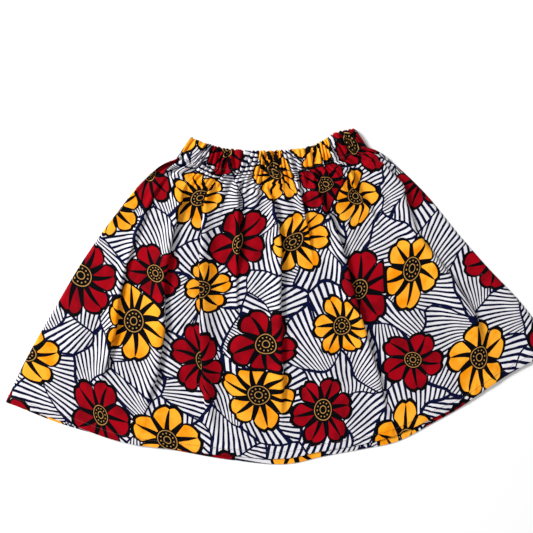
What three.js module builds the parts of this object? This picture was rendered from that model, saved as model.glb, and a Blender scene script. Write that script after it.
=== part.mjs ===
// A child's flared skirt of printed cotton, laid flat on a table with the waist away from the viewer.
// Millimetres. +X runs along the garment from its left side to its right, +Y from hem to waist, +Z up.
// The origin is on the table, under the middle of the garment's outline.
// Four pieces as sewn: a front and a back panel, and the front and back of the waist casing,
// which is the panels' own top turned down over a wide elastic.
import * as THREE from 'three';

// Sizes of the cloth
const CLOTH = 1.2;
const HEM_TURN_THICKNESS = 2.0;
const SEAM_GAP = 0.3;

// The casing and its gathers
const GATHERS = 36;
const GATHER_HEIGHT = 3.4;
const CASING_SECTION = [
  { down: 0.0, thickness: 1.2, wave: 0.8 },
  { down: 0.18, thickness: 1.8, wave: 1.0 },
  { down: 0.6, thickness: 1.8, wave: 1.0 },
  { down: 1.0, thickness: 1.4, wave: 0.9 },
];

// What makes the gathers uneven, as sine waves across the waist: how far they drift sideways, in gathers,
// how large they are, and how far down the panel they run, as shares of the way to the hem
const GATHER_DRIFT = [{ size: 0.16, rate: 31, start: 1 }, { size: 0.1, rate: 57, start: 0 }];
const GATHER_SIZE = 0.85;
const GATHER_SIZE_WAVES = [{ size: 0.15, rate: 43, start: 2 }];
const GATHER_REACH = 0.12;
const GATHER_REACH_WAVES = [{ size: 0.05, rate: 33, start: 0.7 }, { size: 0.03, rate: 71, start: 2 }];

// Heights above the table that the underside of each front piece starts from
const FRONT_REST_AT_WAIST = 5.6;
const FRONT_REST = CLOTH + SEAM_GAP;
const WAIST_RISE_REACH = 0.3;

// At the side seams the front turns down to the table, outside the edge of the back
const PANEL_CURL = 3.2;
const PANEL_BACK_INSET = 4.3;
const CASING_CURL = 6.0;
const CASING_BACK_INSET = 8.5;

// Outlines as laid out, from left to right or from waist to hem
const WAIST_TOP = [[-102, 225], [-77, 213], [-36, 203], [22, 200], [61, 203], [98, 220], [121, 223]];
const WAIST_SEAM = [[-123, 197], [-85, 182], [-31, 172], [20, 169], [77, 175], [123, 191], [136, 197]];
const LEFT_SIDE = [[-123, 197], [-145, 188], [-171, 168], [-208, 128], [-257, 67], [-301, 2], [-341, -60],
  [-373, -118]];
const RIGHT_SIDE = [[136, 197], [148, 192], [174, 169], [206, 135], [256, 67], [292, 21], [330, -24],
  [356, -62], [374.5, -91]];
const FRONT_HEM = [[-373, -118], [-300, -148], [-216, -182], [-152, -195], [-70, -209], [10, -216], [46, -210],
  [115, -202], [155, -193], [206, -172], [246, -157], [285, -134], [323, -113], [374.5, -91]];
const BACK_HEM = [[-373, -118], [-300, -152], [-216, -180], [-152, -196], [-70, -215], [10, -224], [45, -218],
  [107, -210], [148, -204], [206, -179], [239, -163], [273, -142], [323, -113], [374.5, -91]];

// The long folds of the front, from left to right. A fold's course runs down the panel: along is the share
// of the way from waist to hem, across the share from left side to right, strength the share of full height.
// falls is the side its crest lies over to, and before counts the grid steps between it and the last fold.
const FOLD_HEIGHT = 7;
const FOLD_REACH = 0.05;
const FOLDS = [
  { falls: 1, before: 3, reach: 0.9, course: [
    { along: 0.05, across: 0.072, strength: 0.0 }, { along: 0.16, across: 0.074, strength: 0.5 },
    { along: 0.32, across: 0.103, strength: 0.5 }, { along: 0.55, across: 0.105, strength: 0.0 }] },
  { falls: 1, before: 1, reach: 0.9, course: [
    { along: 0.06, across: 0.15, strength: 0.0 }, { along: 0.18, across: 0.176, strength: 0.85 },
    { along: 0.3, across: 0.192, strength: 0.8 }, { along: 0.44, across: 0.216, strength: 0.5 },
    { along: 0.6, across: 0.241, strength: 0.6 }, { along: 0.9, across: 0.251, strength: 0.0 }] },
  { falls: -1, before: 4, reach: 0.85, course: [
    { along: 0.03, across: 0.236, strength: 0.2 }, { along: 0.14, across: 0.25, strength: 0.85 },
    { along: 0.3, across: 0.285, strength: 1.0 }, { along: 0.5, across: 0.319, strength: 0.65 },
    { along: 0.7, across: 0.33, strength: 0.45 }, { along: 0.85, across: 0.33, strength: 0.0 }] },
  { falls: 1, before: 2, reach: 0.8, course: [
    { along: 0.03, across: 0.345, strength: 0.2 }, { along: 0.12, across: 0.368, strength: 0.7 },
    { along: 0.27, across: 0.393, strength: 0.8 }, { along: 0.42, across: 0.402, strength: 0.2 },
    { along: 0.6, across: 0.42, strength: 0.0 }] },
  { falls: 1, before: 3, reach: 1.0, course: [
    { along: 0.03, across: 0.46, strength: 0.1 }, { along: 0.14, across: 0.507, strength: 0.9 },
    { along: 0.3, across: 0.516, strength: 0.95 }, { along: 0.5, across: 0.509, strength: 0.6 },
    { along: 0.75, across: 0.501, strength: 0.4 }, { along: 0.9, across: 0.5, strength: 0.0 }] },
  { falls: 1, before: 3, reach: 0.7, course: [
    { along: 0.03, across: 0.606, strength: 0.2 }, { along: 0.12, across: 0.608, strength: 0.8 },
    { along: 0.24, across: 0.612, strength: 0.5 }, { along: 0.36, across: 0.614, strength: 0.0 }] },
  { falls: 1, before: 2, reach: 0.8, course: [
    { along: 0.03, across: 0.668, strength: 0.2 }, { along: 0.12, across: 0.674, strength: 0.8 },
    { along: 0.3, across: 0.693, strength: 1.0 }, { along: 0.6, across: 0.687, strength: 0.6 },
    { along: 0.8, across: 0.689, strength: 0.4 }, { along: 0.95, across: 0.69, strength: 0.0 }] },
  { falls: -1, before: 3, reach: 0.8, course: [
    { along: 0.03, across: 0.838, strength: 0.3 }, { along: 0.12, across: 0.81, strength: 0.85 },
    { along: 0.2, across: 0.811, strength: 0.5 }, { along: 0.32, across: 0.814, strength: 0.0 }] },
  { falls: 1, before: 3, reach: 0.9, course: [
    { along: 0.02, across: 0.962, strength: 0.2 }, { along: 0.1, across: 0.957, strength: 0.9 },
    { along: 0.2, across: 0.948, strength: 1.0 }, { along: 0.38, across: 0.917, strength: 0.4 },
    { along: 0.6, across: 0.925, strength: 0.45 }, { along: 0.9, across: 0.9, strength: 0.0 }] },
];
// Keeps the number of columns even, because the lower rows keep every second one
const STEPS_AFTER_LAST_FOLD = 4;

// A fold cut across, from its gentle side over the crest, back under the crest and out along the table.
// out is in shares of the fold's reach, up in shares of its height.
const FOLD_SECTION = [
  { out: -1.0, up: 0.0 }, { out: -0.75, up: 0.1 }, { out: -0.5, up: 0.4 }, { out: -0.25, up: 0.78 },
  { out: -0.05, up: 1.0 }, { out: 0.06, up: 0.94 }, { out: 0.105, up: 0.72 }, { out: 0.085, up: 0.48 },
  { out: 0.0, up: 0.36 }, { out: -0.09, up: 0.29 }, { out: -0.14, up: 0.15 }, { out: -0.1, up: 0.03 },
  { out: 0.05, up: 0.0 }, { out: 0.3, up: 0.0 },
];

// Grid rows of the panels, as shares of the way down, closer where the gathers and the hem turn are
const HEM_TURN_STARTS = 0.974;
const FRONT_ROWS = [0, 0.03, 0.07, 0.12, 0.18, 0.25, 0.33, 0.43, 0.54, 0.66, 0.78, 0.89, 0.955,
  HEM_TURN_STARTS, 1];
const FRONT_FINE_ROWS = 9;
const BACK_ROWS = [0, 0.04, 0.09, 0.16, 0.35, 0.65, 0.955, HEM_TURN_STARTS, 1];
const BACK_FINE_ROWS = 3;
// Down to here the columns pass from evenly spaced, as in the casing, to gathered at the folds
const STRAIGHTENED_BY = 0.1;
// The front rises over the back's hem turn between these two distances above it, as shares of the way down
const RISE_TO_HEM_TURN = { from: 0.06, to: 0.025 };

const curve = (points) => new THREE.CatmullRomCurve3(
  points.map(([x, y]) => new THREE.Vector3(x, y, 0)), false, 'centripetal');
const mix = THREE.MathUtils.lerp;
const smooth = (x, from, to) => THREE.MathUtils.smoothstep(x, from, to);

// A flared panel between four edge curves: u runs across from left to right, v down from waist to hem
function fan(waist, hem, left, right) {
  const corner = [waist.getPointAt(0), waist.getPointAt(1), hem.getPointAt(0), hem.getPointAt(1)];
  return (u, v) => {
    const point = new THREE.Vector3();
    point.addScaledVector(waist.getPointAt(u), 1 - v);
    point.addScaledVector(hem.getPointAt(u), v);
    point.addScaledVector(left.getPointAt(v), 1 - u);
    point.addScaledVector(right.getPointAt(v), u);
    point.addScaledVector(corner[0], -(1 - u) * (1 - v));
    point.addScaledVector(corner[1], -u * (1 - v));
    point.addScaledVector(corner[2], -(1 - u) * v);
    point.addScaledVector(corner[3], -u * v);
    return point;
  };
}

const waves = (table, u) => table
  .map(({ size, rate, start }) => size * Math.sin(rate * u + start))
  .reduce((sum, height) => sum + height);

// Height of the waist gathers: a wave across, a little uneven, that runs out at uneven lengths down the panel
function gatherHeight(u, v) {
  const phase = 2 * Math.PI * (GATHERS * u + waves(GATHER_DRIFT, u));
  const reach = GATHER_REACH + waves(GATHER_REACH_WAVES, u);
  const size = GATHER_HEIGHT * (GATHER_SIZE + waves(GATHER_SIZE_WAVES, u));
  return size * (0.5 + 0.5 * Math.cos(phase)) * (1 - smooth(v, 0, reach));
}

// A fold's place across and its strength at one row, between the rows of its course
function foldAt(fold, v) {
  const course = fold.course;
  if (v <= course[0].along) return { across: course[0].across, strength: course[0].strength };
  for (let i = 1; i < course.length; i += 1) {
    const [a, b] = [course[i - 1], course[i]];
    if (v <= b.along) {
      const t = smooth(v, a.along, b.along);
      const across = mix(a.across, b.across, (v - a.along) / (b.along - a.along));
      return { across, strength: mix(a.strength, b.strength, t) };
    }
  }
  const last = course[course.length - 1];
  return { across: last.across, strength: last.strength };
}

// One grid row of the front: for each column its share across and its lift by the folds
function foldedRow(v, width) {
  const row = [];
  let edge = 0;
  const plainSteps = (to, count) => {
    for (let i = 0; i < count; i += 1) row.push({ u: mix(edge, to, i / count), lift: 0 });
  };
  for (const fold of FOLDS) {
    const { across, strength } = foldAt(fold, v);
    const reach = FOLD_REACH * fold.reach;
    const section = fold.falls > 0 ? FOLD_SECTION : [...FOLD_SECTION].reverse();
    const last = section.length - 1;
    const places = section.map(({ out }) => across + fold.falls * reach * out);
    if (edge === 0) {
      const turn = PANEL_CURL / width;
      row.push({ u: 0, lift: 0 }, { u: turn / 2, lift: 0 });
      edge = turn;
      plainSteps(places[0], fold.before - 2);
    } else {
      plainSteps(places[0], fold.before);
    }
    for (let i = 0; i < last; i += 1) {
      const even = mix(places[0], places[last], i / last);
      row.push({ u: mix(even, places[i], strength ** 2), lift: FOLD_HEIGHT * strength * section[i].up });
    }
    edge = places[last];
  }
  const lastTurn = PANEL_CURL / width;
  plainSteps(1 - lastTurn, STEPS_AFTER_LAST_FOLD - 1);
  row.push({ u: 1 - lastTurn, lift: 0 }, { u: 1 - lastTurn / 2, lift: 0 }, { u: 1, lift: 0 });
  const steps = row.length - 1;
  return row.map(({ u, lift }, i) => ({ u: mix(i / steps, u, smooth(v, 0, STRAIGHTENED_BY)), lift }));
}

// The middle of a wall as a grid of points becomes a closed solid: the grid moved out along its normals by
// half the thickness each way, joined round its edge. Its upper and lower ends are cut upright, so that they
// face the piece sewn to them. Rows past fineRows keep every second column.
function wall(grid, thickness, fineRows) {
  const rows = grid.length;
  const columns = grid[0].length;
  const at = (i, j) => grid[THREE.MathUtils.clamp(i, 0, rows - 1)][THREE.MathUtils.clamp(j, 0, columns - 1)];
  const index = new Map();
  const outer = [];
  const inner = [];
  const step = (i) => (i <= fineRows ? 1 : 2);
  for (let i = 0; i < rows; i += 1) {
    for (let j = 0; j < columns; j += step(i)) {
      const across = at(i, j + 1).clone().sub(at(i, j - 1));
      const down = at(i + 1, j).clone().sub(at(i - 1, j));
      if (i === 0 || i === rows - 1) down.set(across.y, -across.x, 0);
      const normal = down.cross(across).normalize();
      const half = thickness(i, j) / 2;
      index.set(`${i},${j}`, outer.length);
      outer.push(at(i, j).clone().addScaledVector(normal, half));
      inner.push(at(i, j).clone().addScaledVector(normal, -half));
      inner[inner.length - 1].z = Math.max(inner[inner.length - 1].z, 0);
    }
  }
  const faces = [];
  const corner = (i, j) => index.get(`${i},${j}`);
  for (let i = 0; i < rows - 1; i += 1) {
    const wide = step(i + 1);
    for (let j = 0; j < columns - 1; j += wide) {
      if (wide === 2 && step(i) === 1) {
        faces.push([corner(i, j), corner(i + 1, j), corner(i, j + 1)]);
        faces.push([corner(i, j + 1), corner(i + 1, j), corner(i + 1, j + 2)]);
        faces.push([corner(i, j + 1), corner(i + 1, j + 2), corner(i, j + 2)]);
      } else {
        faces.push([corner(i, j), corner(i + 1, j), corner(i + 1, j + wide)]);
        faces.push([corner(i, j), corner(i + 1, j + wide), corner(i, j + wide)]);
      }
    }
  }
  const count = outer.length;
  const triangles = faces.flatMap(([a, b, c]) => [a, b, c, count + a, count + c, count + b]);
  const edges = new Map();
  for (const [a, b, c] of faces) {
    for (const [from, to] of [[a, b], [b, c], [c, a]]) {
      if (!edges.delete(`${to},${from}`)) edges.set(`${from},${to}`, [from, to]);
    }
  }
  for (const [from, to] of edges.values()) {
    triangles.push(from, count + from, to, to, count + from, count + to);
  }
  const geometry = new THREE.BufferGeometry();
  geometry.setFromPoints([...outer, ...inner]);
  geometry.setIndex(triangles);
  geometry.computeVertexNormals();
  return geometry;
}

// How far the front has come up from the table, at a distance in from the side seam
function curl(u, width, reach) {
  const fromSide = Math.min(u, 1 - u) * width;
  return smooth(fromSide, 0, reach);
}

function frontRest(v) {
  const overHemTurn = smooth(v, HEM_TURN_STARTS - RISE_TO_HEM_TURN.from, HEM_TURN_STARTS - RISE_TO_HEM_TURN.to);
  const hemTurn = (HEM_TURN_THICKNESS - CLOTH) * overHemTurn;
  return mix(FRONT_REST_AT_WAIST, FRONT_REST, smooth(v, 0, WAIST_RISE_REACH)) + hemTurn;
}

const thicknessAt = (v) => (v >= HEM_TURN_STARTS ? HEM_TURN_THICKNESS : CLOTH);

// The panel starts half a gap below the stitched line, and the casing ends half a gap above it
function awayFromSeam(point, v) {
  point.y -= (SEAM_GAP / 2) * (1 - v);
  return point;
}

const waistTop = curve(WAIST_TOP);
const waistSeam = curve(WAIST_SEAM);

function frontPanel() {
  const place = fan(waistSeam, curve(FRONT_HEM), curve(LEFT_SIDE), curve(RIGHT_SIDE));
  const grid = FRONT_ROWS.map((v) => {
    const width = place(0, v).distanceTo(place(1, v));
    return foldedRow(v, width).map(({ u, lift }) => {
      const point = awayFromSeam(place(u, v), v);
      point.z = thicknessAt(v) / 2 + curl(u, width, PANEL_CURL) * (frontRest(v) + lift + gatherHeight(u, v));
      return point;
    });
  });
  return wall(grid, (i) => thicknessAt(FRONT_ROWS[i]), FRONT_FINE_ROWS);
}

function backPanel(columns) {
  const place = fan(waistSeam, curve(BACK_HEM), curve(LEFT_SIDE), curve(RIGHT_SIDE));
  const grid = BACK_ROWS.map((v) => {
    const width = place(0, v).distanceTo(place(1, v));
    const inset = PANEL_BACK_INSET / width;
    return Array.from({ length: columns + 1 }, (_, j) => {
      const u = mix(inset, 1 - inset, j / columns);
      const point = awayFromSeam(place(u, v), v);
      point.z = thicknessAt(v) / 2 + gatherHeight(u, v);
      return point;
    });
  });
  return wall(grid, (i) => thicknessAt(BACK_ROWS[i]), BACK_FINE_ROWS);
}

// Half the casing: a gathered band between its turned top and the line that is stitched to the panel
function casing(columns, rest, curlReach, inset) {
  const width = waistTop.getLength();
  const grid = CASING_SECTION.map(({ down, thickness, wave }) => Array.from({ length: columns + 1 }, (_, j) => {
    const u = mix(inset / width, 1 - inset / width, j / columns);
    const top = waistTop.getPointAt(u);
    const bottom = waistSeam.getPointAt(u);
    bottom.y += SEAM_GAP / 2;
    const point = top.lerp(bottom, down);
    const up = curlReach ? curl(u, width, curlReach) : 1;
    point.z = thickness / 2 + up * (rest + wave * gatherHeight(u, 0));
    return point;
  }));
  return wall(grid, (i) => CASING_SECTION[i].thickness, CASING_SECTION.length);
}

// Wax-printed cotton: matt, with a little sheen from the finish. One plain colour for each piece.
function cotton(colour) {
  return new THREE.MeshStandardMaterial({ color: colour, roughness: 0.8, metalness: 0 });
}

const skirt = new THREE.Group();
const steps = foldedRow(0, waistSeam.getLength()).length - 1;
const pieces = [
  ['panel_front', frontPanel(), '#c9a24a'],
  ['panel_back', backPanel(steps), '#8f1d2b'],
  ['casing_front', casing(steps, FRONT_REST_AT_WAIST, CASING_CURL, 0), '#2b2f5a'],
  ['casing_back', casing(steps, 0, 0, CASING_BACK_INSET), '#e6e3dc'],
];
for (const [name, geometry, colour] of pieces) {
  const mesh = new THREE.Mesh(geometry, cotton(colour));
  mesh.name = name;
  skirt.add(mesh);
}

export default skirt;
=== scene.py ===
import math
from collections import namedtuple

import bpy
import numpy as np
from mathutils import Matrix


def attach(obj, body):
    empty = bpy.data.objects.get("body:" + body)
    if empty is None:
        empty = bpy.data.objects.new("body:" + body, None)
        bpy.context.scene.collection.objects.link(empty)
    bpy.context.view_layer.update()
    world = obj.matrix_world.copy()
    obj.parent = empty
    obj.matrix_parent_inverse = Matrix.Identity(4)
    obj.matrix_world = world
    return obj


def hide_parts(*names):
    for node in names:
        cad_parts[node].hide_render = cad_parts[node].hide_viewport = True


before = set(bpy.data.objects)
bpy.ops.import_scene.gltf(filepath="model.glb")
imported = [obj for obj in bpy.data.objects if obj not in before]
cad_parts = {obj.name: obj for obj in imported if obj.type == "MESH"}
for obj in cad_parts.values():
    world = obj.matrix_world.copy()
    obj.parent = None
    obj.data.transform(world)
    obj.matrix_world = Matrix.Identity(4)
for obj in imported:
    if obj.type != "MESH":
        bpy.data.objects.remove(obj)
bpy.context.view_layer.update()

MM = 0.001

# A child's flared skirt of printed cotton, laid flat and seen from above. Shapes are worked out in
# millimetres in the frame's own axes: +X to the garment's right as seen, +Y from hem to waist, +Z up.

# The thickness of the plain cloth, the hem turn and the casing, and the sizes of the cut cloth
CLOTH = 0.8
HEM_TURN = 1.5
CASING_CLOTH = 1.1
HEM_DEPTH = 10.5
CASING_DEPTH = 30.0
CUT_LENGTH = 408.0
CUT_WIDTH_AT_WAIST = 500.0
CUT_WIDTH_AT_HEM = 800.0
HEM_LINE = CUT_LENGTH - HEM_DEPTH
HEM_STITCHES = HEM_LINE + 1

# Outlines as laid out, from left to right or from waist to hem, and the steps that a curve is read in
CURVE_STEPS = 1200
WAIST_TOP = [(-102, 225), (-77, 213), (-36, 203), (22, 200), (61, 203), (98, 220), (121, 223)]
WAIST_SEAM = [(-123, 197), (-85, 182), (-31, 172), (20, 169), (77, 175), (123, 191), (136, 197)]
LEFT_SIDE = [(-123, 197), (-145, 188), (-171, 168), (-208, 128), (-257, 67), (-301, 2), (-341, -60),
             (-373, -118)]
RIGHT_SIDE = [(136, 197), (148, 192), (174, 169), (206, 135), (256, 67), (292, 21), (330, -24),
              (356, -62), (374.5, -91)]
FRONT_HEM = [(-373, -118), (-300, -148), (-216, -182), (-152, -195), (-70, -209), (10, -216), (46, -210),
             (115, -202), (155, -193), (206, -172), (246, -157), (285, -134), (323, -113), (374.5, -91)]
BACK_HEM = [(-373, -118), (-300, -152), (-216, -180), (-152, -196), (-70, -215), (10, -224), (45, -218),
            (107, -210), (148, -204), (206, -179), (239, -163), (273, -142), (323, -113), (374.5, -91)]

# A sine wave on the cloth: its size, and its rate across, start and rate down over the shares of the cloth
Wave = namedtuple("Wave", "size rate start down", defaults=[0])

# The waist gathers. Drift is sideways, in gathers, and lean is the drift's growth down the cloth. Size and
# reach are shares of full height and of the way to the hem.
GATHERS = 36
GATHER_DRIFT = [Wave(0.34, 31, 1), Wave(0.22, 57, 0), Wave(0.12, 117, 0)]
GATHER_LEAN = [Wave(0.9, 19, 0), Wave(0.5, 47, 3)]
GATHER_SIZE = 0.76
GATHER_SIZE_WAVES = [Wave(0.16, 43, 2), Wave(0.08, 97, 0, 5)]
GATHER_HEIGHT = 6.7
BACK_GATHER_HEIGHT = 4.8
GATHER_REACH = 0.105
GATHER_REACH_WAVES = [Wave(0.045, 33, 0.7), Wave(0.035, 71, 2)]
GATHER_FADE = 0.8
VALLEY_ROUNDING = 0.04
CREST_POWER = 0.3
BACK_GATHERS_END = (0.1, 0.25)

# The puffs that the gathers make below the stitched line: how many across, their height in mm, and shares
PUFFS = 0.42 * GATHERS
PUFF_HEIGHT = 4.2
PUFF_DRIFT = [Wave(0.5, 17, 0)]
PUFF_ROUNDNESS = 1.3
PUFF_CREST = 0.05
PUFF_REACH = 0.23
PUFF_REACH_WAVES = [Wave(0.09, 21, 1)]

# How the front lies: its height above the table at the waist, and below WAIST_RISE_REACH, a share of the way
# down. The hem turn lifts it between two such shares. At the side seams it curls down to the table, in this
# many mm and columns, and more slowly beside the casing.
REST_AT_WAIST = 5.9
REST = 1.3
WAIST_RISE_REACH = 0.3
HEM_TURN_LIFT = 0.7
HEM_TURN_RISE = (0.95, 0.975)
CURL = 3.2
CURL_STEPS = 4
CASING_CURL = 5.0
CASING_CURL_ENDS = 0.02
BACK_INSET = 4.5
BACK_WAIST_INSET = 0.02
BACK_INSET_REACH = 0.05

# In the gathers the wall's own thickness is laid upright, which keeps the valleys open, down to this many mm.
# Edges sharper than SHARP_ANGLE, in degrees, aren't shaded round.
UPRIGHT = 0.8
UPRIGHT_REACH = 36.0
SHARP_ANGLE = 70

# The print on the cloth, in mm: how far the height of a gather draws it up, and where the back was cut from
PRINT_DRAWN_UP = 0.45
BACK_PRINT_SHIFT = [640, 35]

# The casing across its depth, from its rolled top to the stitched line: (down, value), down as a share. The
# lifts, the scallop of its edge between gathers, and how far the back's is set in are in mm.
CASING_LIFT = [(0.0, -2.6), (0.04, -1.0), (0.13, 0.2), (0.5, 0.9), (0.85, 0.3), (1.0, 0.0)]
CASING_WAVE = [(0.0, 0.75), (0.1, 0.95), (0.5, 1.1), (0.85, 1.0), (1.0, 0.9)]
BACK_CASING_LIFT = [(0.0, 1.8), (0.04, 0.7), (0.13, 0.0), (1.0, 0.0)]
CASING_LEAN = 0.8
CASING_CRUMPLE_FADE = 0.5
SCALLOP = 2.4
SCALLOP_MIDDLE = 0.6
SCALLOP_REACH = 0.35
BACK_SET_IN = 0.6

# The first rows at the rolled top and the last row at the hem, as shares of full thickness
ROLLED_EDGE = [0.4, 0.8]
HEM_EDGE = 0.5

# A ripple in the cloth, in mm: a sine wave by its lengths along x and y and its start, bent by another
Ripple = namedtuple("Ripple", "size length_x length_y start bend bend_x bend_y bend_start")
FLAT = math.inf
CRUMPLE_HEIGHT = 0.9
CRUMPLES = [
    Ripple(0.34, 1.9, FLAT, 0, 2.2, 17, 5.3, 0),
    Ripple(0.42, 3.7, 3.7 / 1.7, 0, 1.4, 8.3, FLAT, 0),
    Ripple(0.38, FLAT, 3.3, 0, 1.9, 6.1, FLAT, 1),
]

# The crumples of the panel fade out between these shares of the way down
CRUMPLES_END = (0.03, 0.17)

# The panel's swell is one ripple times another, and a slanted one. The hem's pucker fades away from its
# stitches, with this spread in square mm.
SWELL_ACROSS = Ripple(0.5, 21, FLAT, 0, 1.3, FLAT, 67, 0)
SWELL_DOWN = Ripple(1.0, FLAT, 49, 0, 0.8, 58, FLAT, 0)
SWELL_SLANTED = Ripple(0.3, 11.5, 31, 2, 0, FLAT, FLAT, 0)
HEM_PUCKER = Ripple(0.35, 2.1, FLAT, 0, 1.7, 9, FLAT, 0)
HEM_PUCKER_SPREAD = 60.0

# Rows of the front and back, as shares of the way down: (from, to, number of rows)
FRONT_ROWS = [(0, 0.2, 34), (0.2, 0.955, 60)]
FRONT_HEM_ROWS = (0.955, 1, 13)
BACK_ROWS = [(0, 0.2, 24), (0.2, 0.955, 30)]
BACK_HEM_ROWS = (0.955, 1, 7)
BACK_COLUMNS = 300
CASING_ROWS = np.array([0, 0.015, 0.04, 0.08, 0.13, 0.2, 0.27, 0.34, 0.41, 0.48, 0.55, 0.62, 0.69, 0.76, 0.83,
                        0.89, 0.94, 0.975, 1.0])

# The long folds of the front, from left to right. course is (along, across, strength): along is the share of
# the way from waist to hem, across the share from left to right, strength the share of full height.
Fold = namedtuple("Fold", "falls before reach course")
FOLD_HEIGHT = 9.5
FOLD_REACH = 0.05
FOLDS = [
    Fold(1, 3, 0.9, [(0.05, 0.072, 0.0), (0.16, 0.074, 0.5), (0.34, 0.1, 0.45), (0.5, 0.119, 0.7),
                     (0.64, 0.141, 0.85), (0.75, 0.15, 0.75), (0.88, 0.158, 0.0)]),
    Fold(1, 1, 1.1, [(0.06, 0.15, 0.0), (0.18, 0.176, 0.85), (0.3, 0.192, 0.9), (0.44, 0.216, 0.8),
                     (0.6, 0.241, 0.95), (0.75, 0.25, 0.85), (0.93, 0.251, 0.1)]),
    Fold(-1, 4, 1.0, [(0.03, 0.236, 0.2), (0.14, 0.25, 0.95), (0.3, 0.285, 1.05), (0.5, 0.317, 1.0),
                       (0.7, 0.335, 0.9), (0.82, 0.343, 0.65), (0.94, 0.36, 0.0)]),
    Fold(1, 2, 0.8, [(0.03, 0.345, 0.3), (0.12, 0.368, 0.85), (0.27, 0.393, 0.85), (0.42, 0.402, 0.4),
                     (0.62, 0.42, 0.0)]),
    Fold(1, 3, 1.0, [(0.03, 0.46, 0.1), (0.14, 0.507, 0.9), (0.3, 0.516, 1.0), (0.5, 0.509, 0.9),
                     (0.75, 0.503, 0.7), (0.92, 0.5, 0.0)]),
    Fold(1, 3, 0.7, [(0.03, 0.606, 0.2), (0.12, 0.608, 0.8), (0.24, 0.612, 0.6), (0.38, 0.614, 0.0)]),
    Fold(1, 2, 1.0, [(0.03, 0.668, 0.3), (0.12, 0.674, 0.9), (0.3, 0.693, 1.0), (0.6, 0.687, 1.0),
                     (0.8, 0.689, 0.75), (0.97, 0.69, 0.15)]),
    Fold(-1, 3, 0.8, [(0.03, 0.838, 0.3), (0.12, 0.81, 0.85), (0.2, 0.811, 0.6), (0.34, 0.814, 0.0)]),
    Fold(1, 3, 1.5, [(0.02, 0.962, 0.2), (0.1, 0.957, 0.9), (0.2, 0.948, 1.1), (0.28, 0.932, 0.8),
                     (0.38, 0.917, 0.55), (0.6, 0.925, 0.7), (0.75, 0.914, 0.75), (0.92, 0.895, 0.1)]),
]
STEPS_AFTER_LAST_FOLD = 3
STEPS_IN_A_GAP = 6
STEPS_IN_A_FOLD = 24
# Down to here the columns pass from evenly spaced, as in the casing, to gathered at the folds
STRAIGHTENED_BY = 0.1
WEAK_FOLD_REACH = 0.5
# Points are set along the section as if its height were this share of its reach
SECTION_FLATTENED = 0.3

# A fold cut across: (out, up), out in shares of its reach, up in shares of its height
FOLD_SECTION = [(-1.0, 0.0), (-0.75, 0.1), (-0.5, 0.4), (-0.25, 0.78), (-0.05, 1.0), (0.06, 0.94),
                (0.105, 0.72), (0.085, 0.48), (0.0, 0.36), (-0.09, 0.29), (-0.14, 0.15), (-0.1, 0.03),
                (0.05, 0.0), (0.3, 0.0)]

# Soft ridges of the front: from (along, across) to (along, across), half width and height in mm
Crease = namedtuple("Crease", "start end half_width height")
CREASES = [
    Crease((0.03, 0.03), (0.3, 0.02), 9, 2.2),
    Crease((0.02, 0.13), (0.26, 0.14), 8, 2.6),
    Crease((0.02, 0.21), (0.2, 0.232), 6, 2.0),
    Crease((0.02, 0.3), (0.3, 0.325), 8, 3.0),
    Crease((0.05, 0.42), (0.36, 0.448), 10, 3.0),
    Crease((0.02, 0.545), (0.3, 0.56), 9, 3.2),
    Crease((0.02, 0.64), (0.22, 0.645), 5, 2.0),
    Crease((0.02, 0.725), (0.34, 0.738), 9, 3.2),
    Crease((0.02, 0.775), (0.22, 0.77), 6, 2.4),
    Crease((0.02, 0.885), (0.3, 0.862), 9, 2.8),
    Crease((0.14, 0.855), (0.56, 0.905), 8, 4.2),
    Crease((0.68, 0.143), (0.92, 0.165), 9, 2.2),
    Crease((0.8, 0.325), (0.96, 0.385), 7, 1.8),
    Crease((0.3, 0.9), (0.98, 0.885), 17, 3.6),
    Crease((0.62, 1.0), (0.9, 0.975), 9, 2.0),
    Crease((0.45, 0.6), (0.97, 0.59), 20, 3.6),
    Crease((0.5, 0.42), (0.98, 0.43), 18, 3.2),
    Crease((0.4, 0.8), (0.97, 0.79), 19, 3.6),
    Crease((0.4, 0.18), (0.97, 0.19), 16, 2.8),
    Crease((0.35, 0.06), (0.97, 0.07), 15, 2.6),
]
CREASE_FULLNESS = 0.8
# Creases, swell and crumples of the panel come in over this share of the way down
PANEL_FORMS_FADE_IN = 0.08

# Stitches, in mm: lockstitch at 3 mm, the thread drawn thicker than the true 0.3 mm so that it shows
STITCH_PITCH = 3.0
STITCH_LENGTH = 2.5
THREAD_THICKNESS = 0.55
THREAD_SUNK = 0.2
STITCH_SIDES = 6
STITCH_RINGS = 5
CASING_STITCH_ROW = len(CASING_ROWS) - 3
# The back hem's stitches end this many columns before each corner, and draw the cloth up by this groove
STITCHES_END_BEFORE = 4
GROOVE_DEPTH = 0.5
THREAD_BROWN = "#3A2A24"
THREAD_LIGHT = "#5E463A"
THREAD_SHADES = 700.0

# The print's colours
GROUND_WHITE = "#DFDDE1"
NAVY = "#050A2E"
OUTLINE_BLACK = "#030307"
CRIMSON = "#9E0012"
DEEP_CRIMSON = "#7C000E"
GOLD = "#FDAD2E"
ORANGE = "#F08E04"
OCHRE = "#B98A48"

# The table: its two shades and how far they mix, its half side and its depth below the skirt in metres
TABLE_WHITE = "#FCFCFC"
TABLE_GREY = "#E4E4E4"
TABLE_GRAIN_SCALE = 40.0
TABLE_GRAIN_SHARE = 0.04
TABLE_HALF_SIDE = 12.0
TABLE_BELOW = 0.0005

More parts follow.
